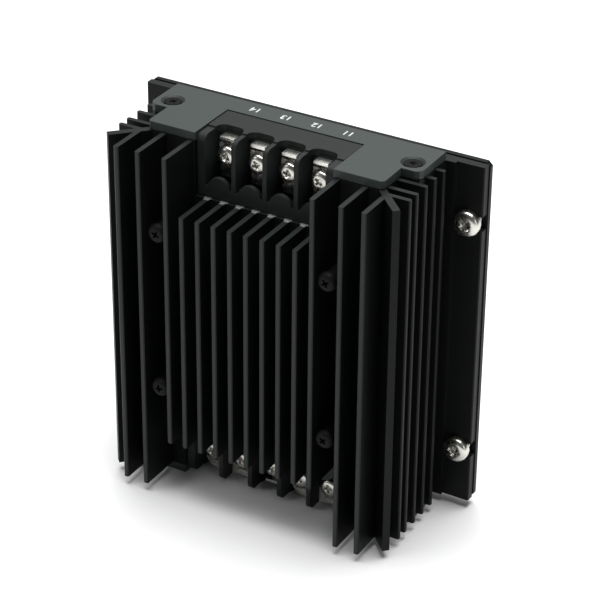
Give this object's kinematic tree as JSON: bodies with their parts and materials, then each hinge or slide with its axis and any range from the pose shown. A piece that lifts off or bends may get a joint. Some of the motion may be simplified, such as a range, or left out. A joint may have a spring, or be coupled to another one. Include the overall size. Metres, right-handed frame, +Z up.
{
  "type": "dc-dc converter module",
  "caption": "Black finned aluminium power converter module with screw terminals at both ends, on a plate with a spring-latched clip for a top-hat rail.",
  "frame": {"origin": "centre of the bounding box's bottom face, under the lower end cover", "axes": "+X to the right along the rail as seen from the fins, +Y from the fins towards the rail, +Z up to the input terminals"},
  "size_m": [0.1052, 0.0514, 0.1096],
  "materials": {
    "black_anodised": "satin black anodised, bare fin edges slightly paler",
    "cover_black": "satin black powder coat",
    "moulded_black": "satin moulded",
    "black_screw": "black oxide",
    "nickel": "bright nickel plate",
    "module_black": "matt potting and case",
    "pad_grey": "soft gap pad",
    "board_green": "solder mask",
    "sleeve_blue": "shrink sleeve",
    "copper_winding": "enamelled copper",
    "film_amber": "polyimide film",
    "clip_black": "satin black anodised",
    "zinc": "zinc plated",
    "spring_steel": "bright wire"
  },
  "bodies": {
    "module": {"heatsink_housing": "black_anodised", "rail_adapter_plate": "black_anodised", "top_cover": "cover_black", "bottom_cover": "cover_black", "input_terminal_block": "moulded_black", "output_terminal_block": "moulded_black", "top_cover_screw_left": "black_screw", "top_cover_screw_right": "black_screw", "bottom_cover_screw_left": "black_screw", "bottom_cover_screw_right": "black_screw", "module_screw_1": "black_screw", "module_screw_2": "black_screw", "module_screw_3": "black_screw", "module_screw_4": "black_screw", "terminal_plate_in_1": "nickel", "terminal_plate_in_2": "nickel", "terminal_plate_in_3": "nickel", "terminal_plate_in_4": "nickel", "terminal_plate_out_1": "nickel", "terminal_plate_out_2": "nickel", "terminal_plate_out_3": "nickel", "terminal_plate_out_4": "nickel", "terminal_plate_out_5": "nickel", "link_left": "nickel", "link_right": "nickel", "flange_screw_left_lower": "nickel", "flange_screw_left_upper": "nickel", "flange_screw_right_lower": "nickel", "flange_screw_right_upper": "nickel", "converter_module": "module_black", "thermal_pad": "pad_grey", "circuit_board": "board_green", "input_capacitor": "sleeve_blue", "output_capacitor": "sleeve_blue", "filter_choke": "copper_winding", "insulating_film": "film_amber", "rail_clip_body": "clip_black", "clip_screw_left": "zinc", "clip_screw_right": "zinc", "latch_spring": "spring_steel"},
    "latch": {"rail_latch": "zinc"},
    "clamp_in_1": {"clamp_washer_in_1": "nickel"},
    "screw_in_1": {"terminal_screw_in_1": "nickel"},
    "clamp_in_2": {"clamp_washer_in_2": "nickel"},
    "screw_in_2": {"terminal_screw_in_2": "nickel"},
    "clamp_in_3": {"clamp_washer_in_3": "nickel"},
    "screw_in_3": {"terminal_screw_in_3": "nickel"},
    "clamp_in_4": {"clamp_washer_in_4": "nickel"},
    "screw_in_4": {"terminal_screw_in_4": "nickel"},
    "clamp_out_1": {"clamp_washer_out_1": "nickel"},
    "screw_out_1": {"terminal_screw_out_1": "nickel"},
    "clamp_out_2": {"clamp_washer_out_2": "nickel"},
    "screw_out_2": {"terminal_screw_out_2": "nickel"},
    "clamp_out_3": {"clamp_washer_out_3": "nickel"},
    "screw_out_3": {"terminal_screw_out_3": "nickel"},
    "clamp_out_4": {"clamp_washer_out_4": "nickel"},
    "screw_out_4": {"terminal_screw_out_4": "nickel"},
    "clamp_out_5": {"clamp_washer_out_5": "nickel"},
    "screw_out_5": {"terminal_screw_out_5": "nickel"}
  },
  "joints": [
    {"name": "latch_slide", "type": "slide", "parent": "module", "child": "latch", "axis": [0, 0, -1], "range_m": [0, 0.004], "stiffness_N_per_m": 3000, "springref_m": -0.004, "deforming": ["latch_spring"]},
    {"name": "in_1_clamp_travel", "type": "slide", "parent": "module", "child": "clamp_in_1", "axis": [0, -1, 0], "range_m": [0, 0.0025]},
    {"name": "in_1_screw_turn", "type": "hinge", "parent": "clamp_in_1", "child": "screw_in_1", "pos_m": [-0.01428, -0.00592, 0.1021], "axis": [0, -1, 0], "range_deg": [0, 1800]},
    {"name": "in_2_clamp_travel", "type": "slide", "parent": "module", "child": "clamp_in_2", "axis": [0, -1, 0], "range_m": [0, 0.0025]},
    {"name": "in_2_screw_turn", "type": "hinge", "parent": "clamp_in_2", "child": "screw_in_2", "pos_m": [-0.00476, -0.00592, 0.1021], "axis": [0, -1, 0], "range_deg": [0, 1800]},
    {"name": "in_3_clamp_travel", "type": "slide", "parent": "module", "child": "clamp_in_3", "axis": [0, -1, 0], "range_m": [0, 0.0025]},
    {"name": "in_3_screw_turn", "type": "hinge", "parent": "clamp_in_3", "child": "screw_in_3", "pos_m": [0.00476, -0.00592, 0.1021], "axis": [0, -1, 0], "range_deg": [0, 1800]},
    {"name": "in_4_clamp_travel", "type": "slide", "parent": "module", "child": "clamp_in_4", "axis": [0, -1, 0], "range_m": [0, 0.0025]},
    {"name": "in_4_screw_turn", "type": "hinge", "parent": "clamp_in_4", "child": "screw_in_4", "pos_m": [0.01428, -0.00592, 0.1021], "axis": [0, -1, 0], "range_deg": [0, 1800]},
    {"name": "out_1_clamp_travel", "type": "slide", "parent": "module", "child": "clamp_out_1", "axis": [0, -1, 0], "range_m": [0, 0.0025]},
    {"name": "out_1_screw_turn", "type": "hinge", "parent": "clamp_out_1", "child": "screw_out_1", "pos_m": [-0.01904, -0.00592, 0.0075], "axis": [0, -1, 0], "range_deg": [0, 1800]},
    {"name": "out_2_clamp_travel", "type": "slide", "parent": "module", "child": "clamp_out_2", "axis": [0, -1, 0], "range_m": [0, 0.0025]},
    {"name": "out_2_screw_turn", "type": "hinge", "parent": "clamp_out_2", "child": "screw_out_2", "pos_m": [-0.00952, -0.00592, 0.0075], "axis": [0, -1, 0], "range_deg": [0, 1800]},
    {"name": "out_3_clamp_travel", "type": "slide", "parent": "module", "child": "clamp_out_3", "axis": [0, -1, 0], "range_m": [0, 0.0025]},
    {"name": "out_3_screw_turn", "type": "hinge", "parent": "clamp_out_3", "child": "screw_out_3", "pos_m": [0, -0.00592, 0.0075], "axis": [0, -1, 0], "range_deg": [0, 1800]},
    {"name": "out_4_clamp_travel", "type": "slide", "parent": "module", "child": "clamp_out_4", "axis": [0, -1, 0], "range_m": [0, 0.0025]},
    {"name": "out_4_screw_turn", "type": "hinge", "parent": "clamp_out_4", "child": "screw_out_4", "pos_m": [0.00952, -0.00592, 0.0075], "axis": [0, -1, 0], "range_deg": [0, 1800]},
    {"name": "out_5_clamp_travel", "type": "slide", "parent": "module", "child": "clamp_out_5", "axis": [0, -1, 0], "range_m": [0, 0.0025]},
    {"name": "out_5_screw_turn", "type": "hinge", "parent": "clamp_out_5", "child": "screw_out_5", "pos_m": [0.01904, -0.00592, 0.0075], "axis": [0, -1, 0], "range_deg": [0, 1800]}
  ],
  "couplings": [
    {"joint": "in_1_screw_turn", "follows": "in_1_clamp_travel", "rad_per_m": 12566},
    {"joint": "in_2_screw_turn", "follows": "in_2_clamp_travel", "rad_per_m": 12566},
    {"joint": "in_3_screw_turn", "follows": "in_3_clamp_travel", "rad_per_m": 12566},
    {"joint": "in_4_screw_turn", "follows": "in_4_clamp_travel", "rad_per_m": 12566},
    {"joint": "out_1_screw_turn", "follows": "out_1_clamp_travel", "rad_per_m": 12566},
    {"joint": "out_2_screw_turn", "follows": "out_2_clamp_travel", "rad_per_m": 12566},
    {"joint": "out_3_screw_turn", "follows": "out_3_clamp_travel", "rad_per_m": 12566},
    {"joint": "out_4_screw_turn", "follows": "out_4_clamp_travel", "rad_per_m": 12566},
    {"joint": "out_5_screw_turn", "follows": "out_5_clamp_travel", "rad_per_m": 12566}
  ]
}
